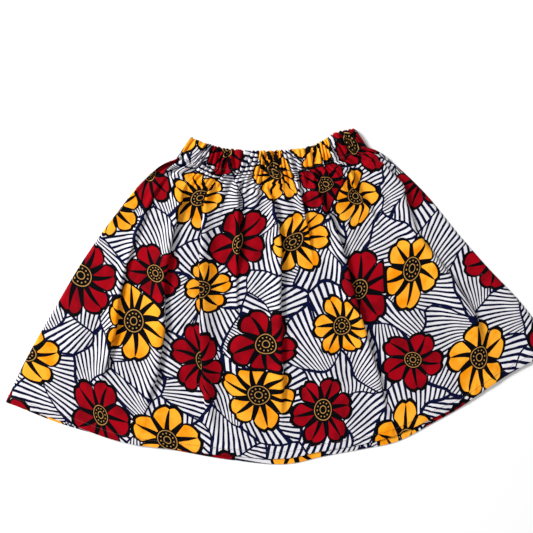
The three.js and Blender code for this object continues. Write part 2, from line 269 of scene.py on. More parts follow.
# The blossoms, in mm on the cloth unless said. Place, turn and drift set the cells that they stand in: drift
# and randomness are shares of the pitch, and the drift's noise has this scale to a pitch.
BLOSSOM_PITCH = 106.0
BLOSSOM_PLACE = (0.45, 0.3, 0.0)
BLOSSOM_TURN = 0.35
BLOSSOM_DRIFT = 0.22
BLOSSOM_DRIFT_SCALE = 0.9
BLOSSOM_RANDOMNESS = 0.5
BLOSSOM_REACH = 43.0
BLOSSOM_REACH_SPREAD = 11.0
OUTLINE_WIDTH = 4.8

# Petals: five, or six in blossoms whose chance is above this, twisted by up to half of PETAL_TWIST, in
# radians to a pitch. Depths of clefts and notches are shares of the blossom's reach, a notch's width is a
# share of half a petal, and PETAL_CORNER in mm rounds a petal off where it meets a neighbour's cell.
FEWEST_PETALS = 5
SIX_PETALS_ABOVE = 0.6
PETAL_TWIST = 1.5
PETAL_ROUNDNESS = 0.5
PETAL_CORNER = 9.0
CLEFT_DEPTH = 0.42
NOTCH_DEPTH = 0.07
NOTCH_WIDTH = 0.2

# Veins and clefts: widths as shares of the pitch, the vein's reach as a share of the blossom's and its taper
# as a power, the cleft's taper as a share of the way out, and the least cleft in mm
VEIN_REACH = 0.88
VEIN_WIDTH = 0.067
VEIN_TAPER = 0.55
CLEFT_WIDTH = 0.052
CLEFT_TAPER = 0.09
LEAST_CLEFT = 0.45 * OUTLINE_WIDTH

# The heart of a blossom, in mm
HEART_RADIUS = 15.0
HEART_RINGS = (0.84 * HEART_RADIUS, 0.3 * HEART_RADIUS)
HEART_RING_WIDTH = 1.0
HEART_DOTS = 11
HEART_DOTS_AWAY = 0.58 * HEART_RADIUS
HEART_DOT_RADIUS = 1.15

# How unevenly the wax lets the dye take: noise to a pitch, and the gain and shift of its contrast
MOTTLE_SCALE = 4.0
MOTTLE_GAIN = 4.0
MOTTLE_SHIFT = -1.7

# The shells, in mm on the cloth unless said, set out as the blossoms are. Their ribs fan out from a hinge,
# this many to a full turn, and a rib's width and its unevenness are shares of a step.
SHELL_PITCH = 62.0
SHELL_PLACE = (4.6, 2.2, 0.0)
SHELL_TURN = -0.5
SHELL_DRIFT = 0.6
SHELL_DRIFT_SCALE = 1.1
SHELL_RANDOMNESS = 0.8
SHELL_HINGE_AWAY = 96.0
SHELL_RIBS = 100
SHELL_BORDER = 3.4
RIB_SHARE = 0.46
RIB_UNEVENNESS = 0.2
RIB_NOISE_SCALE = 5.0

# The cloth's relief by noise: threads or rumples to a metre, and heights in metres. The weave is drawn at
# 1.1 mm, coarser than the true 0.35 mm thread, so that it shows.
WEAVE_SCALE = 900.0
WEAVE_HEIGHT = 0.00008
RUMPLE_SCALE = 62.0
RUMPLE_HEIGHT = 0.0011
RELIEF_STRENGTH = 0.7

# The sockets of a mix node that mixes colours: the colour at 0, the colour at 1, and the result
MIX_FROM = 6
MIX_TO = 7
MIXED = 2

# Lights: name, place in metres, side in metres, power in watts
Light = namedtuple("Light", "name place side power")
LIGHTS = [
    Light("key", (-2.4, 1.5, 2.1), 0.9, 152),
    Light("fill", (1.8, -1.6, 2.6), 2.4, 18),
]
WORLD_STRENGTH = 0.36

# The photograph, and the camera over it: lens and film in mm, place in metres, tilt in degrees
PHOTO_PIXELS = 533
MM_PER_PIXEL = 1.35
LENS = 50
FILM_WIDTH = 36
CAMERA_OVER = (-0.0099, 0.044)
CAMERA_RAISED = 0.004
CAMERA_TILT = -3.4


def smooth(x, low, high):
    """A step from 0 at low to 1 at high that starts and ends gently."""
    t = np.clip((np.asarray(x, float) - low) / (high - low), 0, 1)
    return t * t * (3 - 2 * t)


def mix(a, b, t):
    """The value at share t of the way from a to b."""
    return a + (b - a) * t


def curve(points):
    """A smooth line through the points, read at shares of its length."""
    knots = np.array(points, float)
    reach = np.concatenate([[0], np.cumsum(np.linalg.norm(np.diff(knots, axis=0), axis=1))])
    slope = np.gradient(knots, reach, axis=0)
    fine = np.linspace(0, reach[-1], CURVE_STEPS)
    span = np.clip(np.searchsorted(reach, fine, side="right") - 1, 0, len(reach) - 2)
    width = (reach[span + 1] - reach[span])[:, None]
    t = (fine[:, None] - reach[span][:, None]) / width
    line = ((2 * t**3 - 3 * t**2 + 1) * knots[span] + (t**3 - 2 * t**2 + t) * width * slope[span]
            + (3 * t**2 - 2 * t**3) * knots[span + 1] + (t**3 - t**2) * width * slope[span + 1])
    length = np.concatenate([[0], np.cumsum(np.linalg.norm(np.diff(line, axis=0), axis=1))])
    share = length / length[-1]
    return lambda at: np.column_stack([np.interp(at, share, line[:, k]) for k in (0, 1)])


def fan(waist, hem, left, right):
    """A flared panel between four edge curves: u across from left to right, v down from waist to hem."""
    top_left, top_right = waist(0), waist(1)
    low_left, low_right = hem(0), hem(1)

    def place(u, v):
        u = np.asarray(u, float)[:, None]
        flat = u[:, 0]
        edges = (1 - v) * waist(flat) + v * hem(flat) + (1 - u) * left(v) + u * right(v)
        upper_corners = (1 - u) * (1 - v) * top_left + u * (1 - v) * top_right
        lower_corners = (1 - u) * v * low_left + u * v * low_right
        return edges - (upper_corners + lower_corners)

    return place


waist_top = curve(WAIST_TOP)
waist_seam = curve(WAIST_SEAM)
left_side = curve(LEFT_SIDE)
right_side = curve(RIGHT_SIDE)


def waves(table, u, v=0.0):
    """The sum of a table's waves at shares u across and v down."""
    return sum(wave.size * np.sin(wave.rate * u + wave.start + wave.down * v) for wave in table)


def ripple(row, x, y):
    """A ripple's height at a place in mm."""
    bend = row.bend * np.sin(x / row.bend_x + y / row.bend_y + row.bend_start)
    return row.size * np.sin(x / row.length_x + y / row.length_y + row.start + bend)


def read_table(table, at):
    """A table of (place, value) read at a place between its rows."""
    return np.interp(at, *zip(*table))


def gather_wave(u, v):
    """Height of the gathers, 0 to 1: round crests and narrow valleys, uneven in pitch, size and lean."""
    phase = math.pi * (GATHERS * u + waves(GATHER_DRIFT, u) + v * waves(GATHER_LEAN, u))
    crest = (np.cos(phase) ** 2 + VALLEY_ROUNDING) ** CREST_POWER
    low = VALLEY_ROUNDING ** CREST_POWER
    high = (1 + VALLEY_ROUNDING) ** CREST_POWER
    return (GATHER_SIZE + waves(GATHER_SIZE_WAVES, u, v)) * (crest - low) / (high - low)


def gather_height(u, v):
    """The gathers under the seam: small ones that run out soon, and wide puffs that reach further down."""
    reach = GATHER_REACH + waves(GATHER_REACH_WAVES, u)
    small = GATHER_HEIGHT * gather_wave(u, v) * (1 - smooth(v, 0, reach)) ** GATHER_FADE
    phase = math.pi * (PUFFS * u + waves(PUFF_DRIFT, u))
    puff_reach = PUFF_REACH + waves(PUFF_REACH_WAVES, u)
    along = smooth(v, 0, PUFF_CREST) * (1 - smooth(v, PUFF_CREST, puff_reach))
    return small + PUFF_HEIGHT * np.abs(np.cos(phase)) ** PUFF_ROUNDNESS * along


def casing_gathers(u, down):
    """The casing's gathers, which run on into the panel's at the stitched line."""
    return gather_wave(u, -CASING_LEAN * (1 - down)) * read_table(CASING_WAVE, down)


def casing_scallop(wave, down):
    """How far the casing's edge is pushed out between its gathers."""
    return SCALLOP * (wave - SCALLOP_MIDDLE) * (1 - smooth(down, 0, SCALLOP_REACH))


def crumple(x, y, near):
    """Small creases that run all ways where the cloth is drawn up."""
    return near * CRUMPLE_HEIGHT * sum(ripple(row, x, y) for row in CRUMPLES)


def fold_at(fold, v):
    """Where a fold is at one row, as a share across, and how strong it is there."""
    along, across, strength = (np.array(column) for column in zip(*fold.course))
    k = int(np.clip(np.searchsorted(along, v) - 1, 0, len(along) - 2))
    t = float(smooth(v, along[k], along[k + 1]))
    return float(np.interp(v, along, across)), mix(strength[k], strength[k + 1], t)


def section_points(count):
    """The fold's section at even steps of its cut length, smoothed between its rows."""
    flattened = np.array(FOLD_SECTION) * [1.0, SECTION_FLATTENED]
    return curve(flattened)(np.linspace(0, 1, count + 1)) / [1.0, SECTION_FLATTENED]


SECTION = section_points(STEPS_IN_A_FOLD)


def folded_row(v, width):
    """For each column of a front row: its share across, and its lift by the folds."""
    edge = CURL / width
    curled = np.arange(CURL_STEPS) / CURL_STEPS * edge
    shares = [curled]
    lifts = [np.zeros(CURL_STEPS)]
    for fold in FOLDS:
        across, strength = fold_at(fold, v)
        section = SECTION if fold.falls > 0 else SECTION[::-1]
        reach = FOLD_REACH * fold.reach * mix(WEAK_FOLD_REACH, 1, strength)
        places = across + fold.falls * reach * section[:, 0]
        steps = fold.before * STEPS_IN_A_GAP
        shares.append(mix(edge, places[0], np.arange(steps) / steps))
        lifts.append(np.zeros(steps))
        even = mix(places[0], places[-1], np.arange(STEPS_IN_A_FOLD) / STEPS_IN_A_FOLD)
        shares.append(mix(even, places[:-1], strength ** 2))
        lifts.append(FOLD_HEIGHT * strength * section[:-1, 1])
        edge = places[-1]
    steps = STEPS_AFTER_LAST_FOLD * STEPS_IN_A_GAP
    shares.append(mix(edge, 1 - CURL / width, np.arange(steps) / steps))
    shares.append(1 - np.append(curled, CURL / width)[::-1])
    lifts.append(np.zeros(steps + CURL_STEPS + 1))
    u = np.concatenate(shares)
    even = np.linspace(0, 1, len(u))
    return mix(even, u, float(smooth(v, 0, STRAIGHTENED_BY))), np.concatenate(lifts)


def crease_height(u, v, width):
    """The soft creases at one row."""
    height = np.zeros_like(u)
    for crease in CREASES:
        (from_v, from_u), (to_v, to_u) = crease.start, crease.end
        t = (v - from_v) / (to_v - from_v)
        if 0 < t < 1:
            away = (u - mix(from_u, to_u, t)) * width / crease.half_width
            height += crease.height * math.sin(math.pi * t) ** CREASE_FULLNESS * np.exp(-away ** 2)
    return height


def panel_rows(upper, hem):
    """A panel's rows, as shares of the way down."""
    spans = [np.linspace(start, end, count, endpoint=False) for start, end, count in upper]
    return np.concatenate([*spans, np.linspace(*hem)])


def cloth_uv(grid, down):
    """Places on the flat cut cloth: across by the length along each row, down by the row's depth. Where the
    cloth stands higher it is drawn up from further down, so the print zigzags over the gathers."""
    steps = np.linalg.norm(np.diff(grid, axis=1), axis=2)
    run = np.concatenate([np.zeros((len(grid), 1)), np.cumsum(steps, axis=1)], axis=1)
    share = run / run[:, -1:] - 0.5
    cut = mix(CUT_WIDTH_AT_WAIST, CUT_WIDTH_AT_HEM, np.clip(down / CUT_LENGTH, 0, 1))
    across = share * cut[:, None]
    return np.stack([across, PRINT_DRAWN_UP * grid[:, :, 2] - down[:, None]], axis=2)


def rest_height(v):
    """How high the front lies at one row, before its folds and gathers."""
    rest = mix(REST_AT_WAIST, REST, float(smooth(v, 0, WAIST_RISE_REACH)))
    return rest + HEM_TURN_LIFT * float(smooth(v, *HEM_TURN_RISE))


def swell(x, y):
    """A slow, slight rise and fall of cloth that isn't pressed."""
    slow = SWELL_ACROSS.size + ripple(SWELL_ACROSS, x, y) * ripple(SWELL_DOWN, x, y)
    return slow + SWELL_SLANTED.size + ripple(SWELL_SLANTED, x, y)


def hem_pucker(x, v):
    """The hem pulled up a little between its stitches."""
    near = math.exp(-((1 - v) * CUT_LENGTH - HEM_DEPTH) ** 2 / HEM_PUCKER_SPREAD)
    return near * (HEM_PUCKER.size + ripple(HEM_PUCKER, x, 0))


def down_the_cloth(panel):
    """Distances of the casing's and the panel's rows from the stitched line, down the cloth, in mm."""
    return np.concatenate([-CASING_DEPTH * (1 - CASING_ROWS[:-1]), panel * CUT_LENGTH])


def front_casing_row(u, down, width):
    """One row of the front casing, drawn up over its elastic, with its ends turned down to the table."""
    flat = mix(waist_top(u), waist_seam(u), down)
    wave = casing_gathers(u, down)
    flat[:, 1] += casing_scallop(wave, down)
    up = smooth(np.minimum(u, 1 - u) * width, 0, CASING_CURL)
    lift = read_table(CASING_LIFT, down) + GATHER_HEIGHT * wave
    height = CASING_CLOTH / 2 + up * (REST_AT_WAIST + lift)
    height += up * crumple(flat[:, 0], flat[:, 1], math.sin(math.pi * down) ** CASING_CRUMPLE_FADE)
    return np.column_stack([flat, height])


def front_panel_row(place, v):
    """One row of the front panel: its folds, gathers, creases, swell and crumples over its laid-out shape."""
    width = np.linalg.norm(place([1.0], v) - place([0.0], v))
    u, lift = folded_row(v, width)
    flat = place(u, v)
    curl = smooth(np.minimum(u, 1 - u) * width, 0, CURL if v > CASING_CURL_ENDS else CASING_CURL)
    fade = smooth(v, 0.0, PANEL_FORMS_FADE_IN)
    height = rest_height(v) + lift + gather_height(u, v) + fade * crease_height(u, v, width)
    height += fade * swell(u * width, v * CUT_LENGTH) + hem_pucker(u * width, v)
    height += crumple(flat[:, 0], flat[:, 1], fade * (1 - float(smooth(v, *CRUMPLES_END))))
    return np.column_stack([flat, CLOTH / 2 + curl * height])


def front_grid():
    """The whole front, casing and panel, as one grid of points in the middle of the cloth, and how far down
    the cut cloth each of its rows is."""
    place = fan(waist_seam, curve(FRONT_HEM), left_side, right_side)
    width = np.linalg.norm(waist_seam(1) - waist_seam(0))
    u, _ = folded_row(0, width)
    panel = panel_rows(FRONT_ROWS, FRONT_HEM_ROWS)
    rows = [front_casing_row(u, c, width) for c in CASING_ROWS[:-1]]
    rows += [front_panel_row(place, v) for v in panel]
    return np.array(rows), down_the_cloth(panel)


def back_casing_row(down):
    """One row of the back casing, which lies flatter than the front's and nests under it."""
    u = np.linspace(BACK_WAIST_INSET, 1 - BACK_WAIST_INSET, BACK_COLUMNS)
    flat = mix(waist_top(u), waist_seam(u), down)
    wave = casing_gathers(u, down)
    flat[:, 1] += casing_scallop(wave, down) - BACK_SET_IN
    height = CASING_CLOTH / 2 + read_table(BACK_CASING_LIFT, down) + BACK_GATHER_HEIGHT * wave
    return np.column_stack([flat, height])


def back_panel_row(place, v):
    """One row of the back panel, set in from the side seams, where the front turns down over it."""
    width = np.linalg.norm(place([1.0], v) - place([0.0], v))
    inset = mix(BACK_WAIST_INSET, BACK_INSET / width, float(smooth(v, 0, BACK_INSET_REACH)))
    u = np.linspace(inset, 1 - inset, BACK_COLUMNS)
    thick = HEM_TURN if v > HEM_LINE / CUT_LENGTH else CLOTH
    height = BACK_GATHER_HEIGHT / GATHER_HEIGHT * gather_height(u, v) * (1 - smooth(v, *BACK_GATHERS_END))
    return np.column_stack([place(u, v), thick / 2 + height])


def back_grid():
    """The whole back, as front_grid gives the front."""
    place = fan(waist_seam, curve(BACK_HEM), left_side, right_side)
    panel = panel_rows(BACK_ROWS, BACK_HEM_ROWS)
    rows = [back_casing_row(c) for c in CASING_ROWS[:-1]]
    rows += [back_panel_row(place, v) for v in panel]
    return np.array(rows), down_the_cloth(panel)


def normals(grid):
    """The direction out of the cloth's face at each point."""
    normal = np.cross(np.gradient(grid, axis=0), np.gradient(grid, axis=1))
    return normal / np.linalg.norm(normal, axis=2, keepdims=True)


def wall_faces(rows, columns):
    """The faces of a closed wall: its outer side, its inner side, and the rim that joins them."""
    index = np.arange(rows * columns).reshape(rows, columns)
    a, b, c, d = (part.ravel() for part in (index[:-1, :-1], index[1:, :-1], index[1:, 1:], index[:-1, 1:]))
    count = rows * columns
    outer = np.column_stack([a, b, c, d])
    inner = np.column_stack([a, d, c, b]) + count
    edge = np.concatenate([index[:, 0], index[-1, 1:], index[-2::-1, -1], index[0, -2:0:-1]])
    after = np.roll(edge, -1)
    rim = np.column_stack([edge, edge + count, after + count, after])
    return np.concatenate([outer, inner, rim])


def wall_mesh(name, grid, uv, thickness, upright, groove=()):
    """A closed shell: the grid moved out each way and joined round its edge. It moves along its normals,
    turned more upright in the gathers, where the cloth's own thickness would close the valleys. The underside
    of the rows in groove is drawn up a little by the stitches there."""
    normal = normals(grid)
    normal[:, :, 2] += upright[:, None]
    normal /= np.linalg.norm(normal, axis=2, keepdims=True)
    half = thickness[:, None, None] / 2
    outer = grid + normal * half
    inner = grid - normal * half
    inner[:, :, 2] = np.maximum(inner[:, :, 2], 0)
    inner[list(groove), :, 2] = np.maximum(inner[list(groove), :, 2], GROOVE_DEPTH)
    points = np.concatenate([outer.reshape(-1, 3), inner.reshape(-1, 3)]) * MM
    mesh = bpy.data.meshes.new(name)
    mesh.from_pydata(points.tolist(), [], wall_faces(*grid.shape[:2]).tolist())
    layer = mesh.uv_layers.new(name="cloth")
    flat = np.concatenate([uv.reshape(-1, 2), uv.reshape(-1, 2)]) * MM
    corners = np.empty(len(mesh.loops), dtype=np.int32)
    mesh.loops.foreach_get("vertex_index", corners)
    layer.data.foreach_set("uv", flat[corners].ravel())
    mesh.polygons.foreach_set("use_smooth", np.ones(len(mesh.polygons), dtype=bool))
    mesh.set_sharp_from_angle(angle=math.radians(SHARP_ANGLE))
    mesh.update()
    piece = bpy.data.objects.new(name, mesh)
    bpy.context.scene.collection.objects.link(piece)
    return piece


def linear(hex_colour):
    """An sRGB hex colour as linear RGBA."""
    shares = [int(hex_colour[i:i + 2], 16) / 255 for i in (1, 3, 5)]
    return tuple(s / 12.92 if s <= 0.04045 else ((s + 0.055) / 1.055) ** 2.4 for s in shares) + (1.0,)


def add(tree, kind, *values, inputs=None, **settings):
    """Adds a node with its settings, and sets or links its inputs: values in order, inputs by number or
    name."""
    node = tree.nodes.new(kind)
    for key, value in settings.items():
        setattr(node, key, value)
    for key, value in [*enumerate(values), *(inputs or {}).items()]:
        if isinstance(value, bpy.types.NodeSocket):
            tree.links.new(value, node.inputs[key])
        else:
            node.inputs[key].default_value = value
    return node.outputs


def new_material(name):
    """An empty material with nodes."""
    material = bpy.data.materials.new(name)
    material.use_nodes = True
    material.node_tree.nodes.clear()
    return material


def drifted(tree, place, drift, scale):
    """A place moved by slow noise, up to half of drift each way."""
    noise = add(tree, "ShaderNodeTexNoise", place, inputs={"Scale": scale, "Detail": 0.0},
                noise_dimensions="2D")[1]
    noise = add(tree, "ShaderNodeVectorMath", noise, (0.5, 0.5, 0.5), operation="SUBTRACT")[0]
    noise = add(tree, "ShaderNodeVectorMath", noise, (drift, drift, 0.0), operation="MULTIPLY")[0]
    return add(tree, "ShaderNodeVectorMath", place, noise, operation="ADD")[0]


def cells(tree, place, randomness):
    """Uneven cells, one to a unit square: each one's colour and centre, and the distance to its border."""
    inputs = {"Scale": 1.0, "Randomness": randomness}
    cell = add(tree, "ShaderNodeTexVoronoi", place, inputs=inputs, voronoi_dimensions="2D", feature="F1")
    border = add(tree, "ShaderNodeTexVoronoi", place, inputs=inputs, voronoi_dimensions="2D",
                 feature="DISTANCE_TO_EDGE")["Distance"]
    return cell, border


def petal_shape(tree, chance, radius, angle, border):
    """Petals twisted a little to one side: how far a place is inside their edge, how far the blossom reaches,
    the angle off a petal's middle, and half the angle from petal to petal."""
    unit = 1 / BLOSSOM_PITCH
    twist = add(tree, "ShaderNodeMath", chance[2], PETAL_TWIST, -PETAL_TWIST / 2,
                operation="MULTIPLY_ADD")[0]
    twisted = add(tree, "ShaderNodeMath", twist, radius, angle, operation="MULTIPLY_ADD")[0]
    six = add(tree, "ShaderNodeMath", chance[1], SIX_PETALS_ABOVE, operation="GREATER_THAN")[0]
    petals = add(tree, "ShaderNodeMath", six, FEWEST_PETALS, operation="ADD")[0]
    half_step = add(tree, "ShaderNodeMath", math.pi, petals, operation="DIVIDE")[0]
    off_middle = add(tree, "ShaderNodeMath", twisted, half_step, operation="PINGPONG")[0]
    aside = add(tree, "ShaderNodeMath", off_middle, half_step, operation="DIVIDE")[0]
    lobe = add(tree, "ShaderNodeMath", aside, math.pi / 2, operation="MULTIPLY")[0]
    lobe = add(tree, "ShaderNodeMath", lobe, operation="COSINE")[0]
    lobe = add(tree, "ShaderNodeMath", lobe, PETAL_ROUNDNESS, operation="POWER")[0]
    notch = add(tree, "ShaderNodeMath", aside, -1 / NOTCH_WIDTH, 1.0, operation="MULTIPLY_ADD",
                use_clamp=True)[0]
    size = add(tree, "ShaderNodeMath", chance[0], BLOSSOM_REACH_SPREAD * unit, BLOSSOM_REACH * unit,
               operation="MULTIPLY_ADD")[0]
    share = add(tree, "ShaderNodeMath", lobe, CLEFT_DEPTH, 1 - CLEFT_DEPTH, operation="MULTIPLY_ADD")[0]
    share = add(tree, "ShaderNodeMath", notch, -NOTCH_DEPTH, share, operation="MULTIPLY_ADD")[0]
    edge = add(tree, "ShaderNodeMath", size, share, operation="MULTIPLY")[0]
    inside = add(tree, "ShaderNodeMath", edge, radius, operation="SUBTRACT")[0]
    inside = add(tree, "ShaderNodeMath", inside, border, PETAL_CORNER * unit, operation="SMOOTH_MIN")[0]
    return inside, size, off_middle, half_step


def petal_lines(tree, radius, size, off_middle, half_step):
    """A dark vein up the middle of each petal and a dark cleft between petals, both tapering out."""
    sine = add(tree, "ShaderNodeMath", off_middle, operation="SINE")[0]
    off_vein = add(tree, "ShaderNodeMath", radius, sine, operation="MULTIPLY")[0]
    width = add(tree, "ShaderNodeMath", size, VEIN_REACH, operation="MULTIPLY")[0]
    width = add(tree, "ShaderNodeMath", width, radius, operation="SUBTRACT")[0]
    width = add(tree, "ShaderNodeMath", width, 0.0, operation="MAXIMUM")[0]
    width = add(tree, "ShaderNodeMath", width, VEIN_TAPER, operation="POWER")[0]
    width = add(tree, "ShaderNodeMath", width, VEIN_WIDTH, operation="MULTIPLY")[0]
    vein = add(tree, "ShaderNodeMath", off_vein, width, operation="LESS_THAN")[0]
    from_cleft = add(tree, "ShaderNodeMath", half_step, off_middle, operation="SUBTRACT")[0]
    sine = add(tree, "ShaderNodeMath", from_cleft, operation="SINE")[0]
    off_cleft = add(tree, "ShaderNodeMath", radius, sine, operation="MULTIPLY")[0]
    width = add(tree, "ShaderNodeMath", radius, -CLEFT_TAPER, CLEFT_WIDTH, operation="MULTIPLY_ADD")[0]
    width = add(tree, "ShaderNodeMath", width, LEAST_CLEFT / BLOSSOM_PITCH, operation="MAXIMUM")[0]
    cleft = add(tree, "ShaderNodeMath", off_cleft, width, operation="LESS_THAN")[0]
    return add(tree, "ShaderNodeMath", vein, cleft, operation="MAXIMUM")[0]


def heart_ochre(tree, radius, angle):
    """The ochre on a blossom's heart: rings, and a round of dots between them."""
    unit = 1 / BLOSSOM_PITCH
    turn = add(tree, "ShaderNodeMath", angle, math.pi / HEART_DOTS, operation="PINGPONG")[0]
    aside = add(tree, "ShaderNodeMath", radius, turn, operation="MULTIPLY")[0]
    out = add(tree, "ShaderNodeMath", radius, HEART_DOTS_AWAY * unit, operation="SUBTRACT")[0]
    out = add(tree, "ShaderNodeMath", out, operation="ABSOLUTE")[0]
    off_dot = add(tree, "ShaderNodeMath", aside, out, operation="ADD")[0]
    ochre = add(tree, "ShaderNodeMath", off_dot, HEART_DOT_RADIUS * unit, operation="LESS_THAN")[0]
    for away in HEART_RINGS:
        ring = add(tree, "ShaderNodeMath", radius, away * unit, HEART_RING_WIDTH / 2 * unit,
                   operation="COMPARE")[0]
        ochre = add(tree, "ShaderNodeMath", ochre, ring, operation="MAXIMUM")[0]
    return ochre


def petal_dye(tree, place, centre):
    """The petals' dye: crimson and gold blossoms take turns, and the wax lets each dye take unevenly."""
    column = add(tree, "ShaderNodeMath", centre[0], operation="FLOOR")[0]
    row = add(tree, "ShaderNodeMath", centre[1], operation="FLOOR")[0]
    odd = add(tree, "ShaderNodeMath", column, row, operation="ADD")[0]
    odd = add(tree, "ShaderNodeMath", odd, 2.0, operation="FLOORED_MODULO")[0]
    mottle = add(tree, "ShaderNodeTexNoise", place,
                 inputs={"Scale": MOTTLE_SCALE, "Detail": 4.0, "Roughness": 0.5}, noise_dimensions="2D")[0]
    mottle = add(tree, "ShaderNodeMath", mottle, MOTTLE_GAIN, MOTTLE_SHIFT, operation="MULTIPLY_ADD",
                 use_clamp=True)[0]
    gold = add(tree, "ShaderNodeMix", mottle, data_type="RGBA",
               inputs={MIX_FROM: linear(GOLD), MIX_TO: linear(ORANGE)})[MIXED]
    crimson = add(tree, "ShaderNodeMix", mottle, data_type="RGBA",
                  inputs={MIX_FROM: linear(CRIMSON), MIX_TO: linear(DEEP_CRIMSON)})[MIXED]
    return add(tree, "ShaderNodeMix", odd, data_type="RGBA", inputs={MIX_FROM: gold, MIX_TO: crimson})[MIXED]


def blossoms(tree, cloth, ground):
    """Round blossoms over the ground: five or six notched petals, crimson or gold, outlined in black, round a
    black heart."""
    unit = 1 / BLOSSOM_PITCH
    flat = add(tree, "ShaderNodeMapping", cloth, BLOSSOM_PLACE, (0.0, 0.0, BLOSSOM_TURN),
               (unit / MM, unit / MM, 1.0))[0]
    place = drifted(tree, flat, BLOSSOM_DRIFT, BLOSSOM_DRIFT_SCALE)
    cell, border = cells(tree, place, BLOSSOM_RANDOMNESS)
    chance = add(tree, "ShaderNodeSeparateColor", cell["Color"])
    centre = add(tree, "ShaderNodeSeparateXYZ", cell["Position"])
    away = add(tree, "ShaderNodeVectorMath", place, cell["Position"], operation="SUBTRACT")[0]
    aside = add(tree, "ShaderNodeSeparateXYZ", away)
    radius = add(tree, "ShaderNodeVectorMath", away, operation="LENGTH")["Value"]
    angle = add(tree, "ShaderNodeMath", aside[1], aside[0], operation="ARCTAN2")[0]
    turn = add(tree, "ShaderNodeMath", chance[0], 2 * math.pi, operation="MULTIPLY")[0]
    angle = add(tree, "ShaderNodeMath", angle, turn, operation="ADD")[0]

    inside, size, off_middle, half_step = petal_shape(tree, chance, radius, angle, border)
    petal = add(tree, "ShaderNodeMath", inside, 0.0, operation="GREATER_THAN")[0]
    outline = add(tree, "ShaderNodeMath", inside, 0.0, OUTLINE_WIDTH / 2 * unit, operation="COMPARE")[0]
    lines = petal_lines(tree, radius, size, off_middle, half_step)
    lines = add(tree, "ShaderNodeMath", lines, petal, operation="MULTIPLY")[0]
    heart = add(tree, "ShaderNodeMath", radius, HEART_RADIUS * unit, operation="LESS_THAN")[0]
    ochre = heart_ochre(tree, radius, angle)
    ochre = add(tree, "ShaderNodeMath", ochre, heart, operation="MULTIPLY")[0]

    black = linear(OUTLINE_BLACK)
    colour = ground
    for mask, over in ((petal, petal_dye(tree, place, centre)), (lines, black), (outline, black),
                       (heart, black), (ochre, linear(OCHRE))):
        colour = add(tree, "ShaderNodeMix", mask, data_type="RGBA",
                     inputs={MIX_FROM: colour, MIX_TO: over})[MIXED]
    return colour


def shells(tree, cloth):
    """The ground: white shells with curved navy edges, each ribbed with navy lines that fan out."""
    unit = 1 / SHELL_PITCH
    flat = add(tree, "ShaderNodeMapping", cloth, SHELL_PLACE, (0.0, 0.0, SHELL_TURN),
               (unit / MM, unit / MM, 1.0))[0]
    cell, border = cells(tree, drifted(tree, flat, SHELL_DRIFT, SHELL_DRIFT_SCALE), SHELL_RANDOMNESS)
    lean = add(tree, "ShaderNodeVectorMath", cell["Color"], (0.5, 0.5, 0.5), operation="SUBTRACT")[0]
    lean = add(tree, "ShaderNodeVectorMath", lean, (1.0, 1.0, 0.0), operation="MULTIPLY")[0]
    lean = add(tree, "ShaderNodeVectorMath", lean, operation="NORMALIZE")[0]
    lean = add(tree, "ShaderNodeVectorMath", lean, inputs={"Scale": SHELL_HINGE_AWAY * unit},
               operation="SCALE")[0]
    hinge = add(tree, "ShaderNodeVectorMath", cell["Position"], lean, operation="ADD")[0]
    away = add(tree, "ShaderNodeVectorMath", flat, hinge, operation="SUBTRACT")[0]
    aside = add(tree, "ShaderNodeSeparateXYZ", away)
    angle = add(tree, "ShaderNodeMath", aside[1], aside[0], operation="ARCTAN2")[0]
    lines = add(tree, "ShaderNodeMath", angle, SHELL_RIBS / (2 * math.pi), operation="MULTIPLY")[0]
    lines = add(tree, "ShaderNodeMath", lines, operation="FRACT")[0]
    wobble = add(tree, "ShaderNodeTexNoise", flat, inputs={"Scale": RIB_NOISE_SCALE, "Detail": 1.0},
                 noise_dimensions="2D")[0]
    width = add(tree, "ShaderNodeMath", wobble, RIB_UNEVENNESS, RIB_SHARE - RIB_UNEVENNESS / 2,
                operation="MULTIPLY_ADD")[0]
    rib = add(tree, "ShaderNodeMath", lines, width, operation="LESS_THAN")[0]
    edge = add(tree, "ShaderNodeMath", border, SHELL_BORDER / 2 * unit, operation="LESS_THAN")[0]
    navy = add(tree, "ShaderNodeMath", rib, edge, operation="MAXIMUM")[0]
    return add(tree, "ShaderNodeMix", navy, data_type="RGBA",
               inputs={MIX_FROM: linear(GROUND_WHITE), MIX_TO: linear(NAVY)})[MIXED]


def sewing_thread():
    """Spun polyester thread, dark brown: matt, with a little sheen along its twist."""
    material = new_material("spun_polyester_thread")
    tree = material.node_tree
    place = add(tree, "ShaderNodeTexCoord")["Object"]
    shade = add(tree, "ShaderNodeTexNoise", place, inputs={"Scale": THREAD_SHADES, "Detail": 1.0})[0]
    colour = add(tree, "ShaderNodeMix", shade, data_type="RGBA",
                 inputs={MIX_FROM: linear(THREAD_BROWN), MIX_TO: linear(THREAD_LIGHT)})[MIXED]
    surface = add(tree, "ShaderNodeBsdfPrincipled", inputs={
        "Base Color": colour, "Roughness": 0.6, "Sheen Weight": 0.2, "Specular IOR Level": 0.3})[0]
    add(tree, "ShaderNodeOutputMaterial", surface)
    return material


